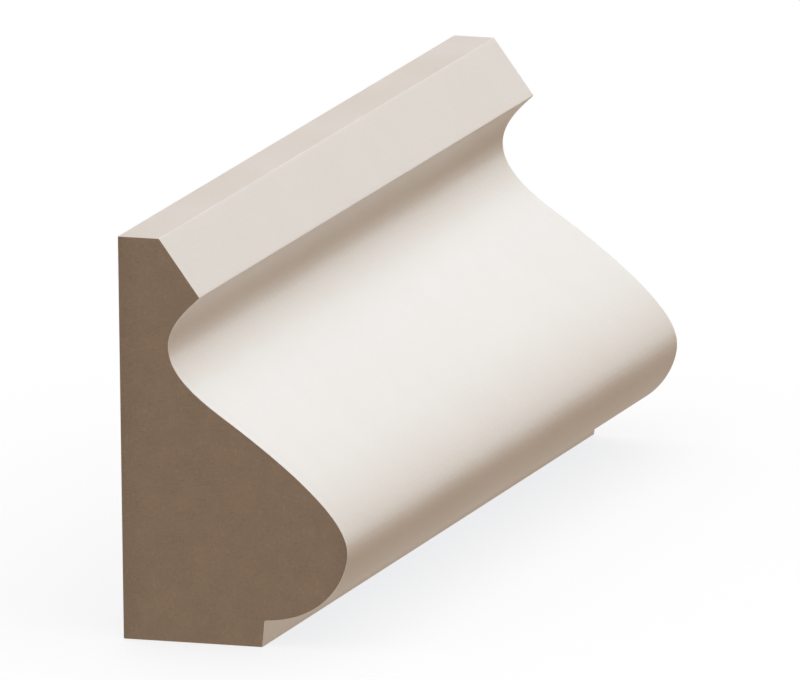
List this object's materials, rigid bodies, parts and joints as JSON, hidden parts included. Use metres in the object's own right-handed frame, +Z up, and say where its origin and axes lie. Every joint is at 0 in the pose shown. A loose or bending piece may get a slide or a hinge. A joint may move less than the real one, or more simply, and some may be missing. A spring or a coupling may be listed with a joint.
{
  "type": "base cap moulding",
  "caption": "Short primed length of base cap moulding with a bevelled top, a cove, a reverse curve, a round nose and a low foot, to finish the top of a baseboard.",
  "frame": {"origin": "middle of the length and of the thickness, on the plane of the foot", "axes": "+X along the run, +Y from the moulded front to the flat back that meets the wall, +Z up from the foot to the narrow top"},
  "size_m": [0.0762, 0.0176, 0.0302],
  "materials": {
    "primed_board": "factory white primer, satin, over fibreboard",
    "bare_board": "bare fibreboard, matt, sawn"
  },
  "bodies": {
    "root": {"moulding_stick": "primed_board"}
  },
  "joints": []
}
